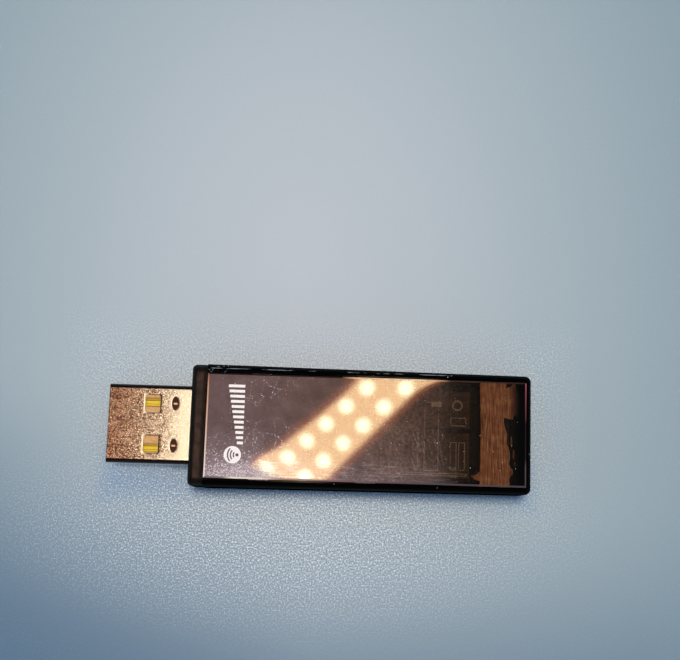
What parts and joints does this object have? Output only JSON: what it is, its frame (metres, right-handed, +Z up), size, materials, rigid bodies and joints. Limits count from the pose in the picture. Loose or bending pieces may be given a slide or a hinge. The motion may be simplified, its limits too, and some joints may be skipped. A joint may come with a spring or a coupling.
{
  "type": "usb wireless adapter",
  "caption": "Slim rectangular wireless adapter: folded-steel USB type A plug, matt end collar and glossy black case with a bevelled smoked window over the circuit board.",
  "frame": {"origin": "middle of the box round the whole part, on the plane that the case's underside rests on", "axes": "+X from the plug's mouth to the housing's rear end, +Y across the housing, +Z up out of the window; the plug's contacts face +Z"},
  "size_m": [0.0642, 0.0186, 0.008],
  "materials": {
    "shell_steel": "nickel-plated, finely grained, satin",
    "insulator_nylon": "moulded, natural colour",
    "contact_gold": "gold flash over bronze, bright",
    "collar_matt_black": "fine moulded grain",
    "case_gloss_black": "moulded, semi-gloss",
    "window_smoked": "polished smoked acrylic with bevelled edges",
    "film_brown": "streaked brown film, torn edge",
    "board_laminate": "solder resist over glass laminate",
    "chip_epoxy": "moulded, matt",
    "crystal_can": "plated lid",
    "lamp_clear": "clear lens",
    "tantalum_yellow": "moulded, matt",
    "ferrite_grey": "fired, matt",
    "resistor_black": "glazed",
    "ceramic_tan": "fired, tinned ends",
    "ceramic_white": "fired, tinned ends"
  },
  "bodies": {
    "root": {"plug_shell": "shell_steel", "plug_insulator": "insulator_nylon", "contact_supply": "contact_gold", "contact_data_minus": "contact_gold", "contact_data_plus": "contact_gold", "contact_ground": "contact_gold", "front_collar": "collar_matt_black", "case_tray": "case_gloss_black", "window_lid": "window_smoked", "end_film": "film_brown", "circuit_board": "board_laminate", "radio_chip": "chip_epoxy", "memory_chip": "chip_epoxy", "voltage_regulator": "chip_epoxy", "crystal": "crystal_can", "status_led": "lamp_clear", "bulk_capacitor": "tantalum_yellow", "ferrite_bead": "ferrite_grey", "match_coil": "ferrite_grey", "data_resistor_minus": "resistor_black", "data_resistor_plus": "resistor_black", "lamp_resistor": "resistor_black", "supply_capacitor_in": "ceramic_tan", "supply_capacitor_out": "ceramic_tan", "radio_capacitor_front": "ceramic_tan", "radio_capacitor_rear": "ceramic_tan", "core_capacitor": "ceramic_tan", "load_capacitor_front": "ceramic_tan", "load_capacitor_rear": "ceramic_tan", "match_capacitor": "ceramic_tan", "antenna_filter": "ceramic_white", "chip_antenna": "ceramic_white"}
  },
  "joints": []
}
